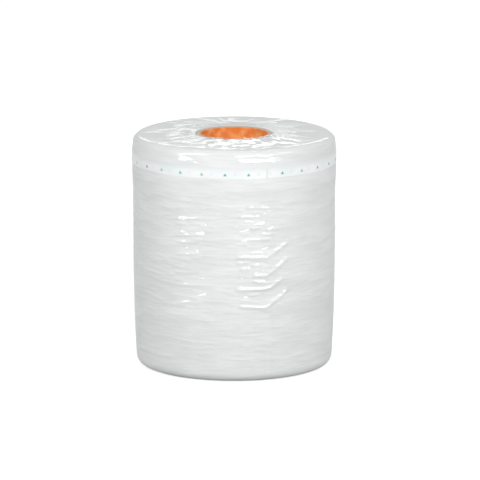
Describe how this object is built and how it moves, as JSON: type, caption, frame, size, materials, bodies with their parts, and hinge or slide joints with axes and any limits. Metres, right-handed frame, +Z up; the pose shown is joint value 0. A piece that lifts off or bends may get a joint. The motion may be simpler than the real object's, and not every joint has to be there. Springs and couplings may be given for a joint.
{
  "type": "air column roll",
  "caption": "Roll of uninflated air column cushioning film on a paper core, standing on its end in a clear gathered film wrap.",
  "frame": {"origin": "centre of the base that the roll stands on, on the axis of the core", "axes": "+Z up along the core; the edge of the web with the valve strip is at the top, and the tail of the roll is at the front, near -Y"},
  "size_m": [0.2346, 0.2346, 0.2686],
  "materials": {
    "core": "smooth wound paper, orange inside",
    "film": "milky wound film with fine creases",
    "valve_film": "white film, satin",
    "ink": "printed green ink",
    "wrap": "clear glossy film, creased"
  },
  "bodies": {
    "root": {"core_tube": "core", "film_roll": "film", "valve_strip": "valve_film", "ink_marks": "ink", "overwrap": "wrap"}
  },
  "joints": []
}
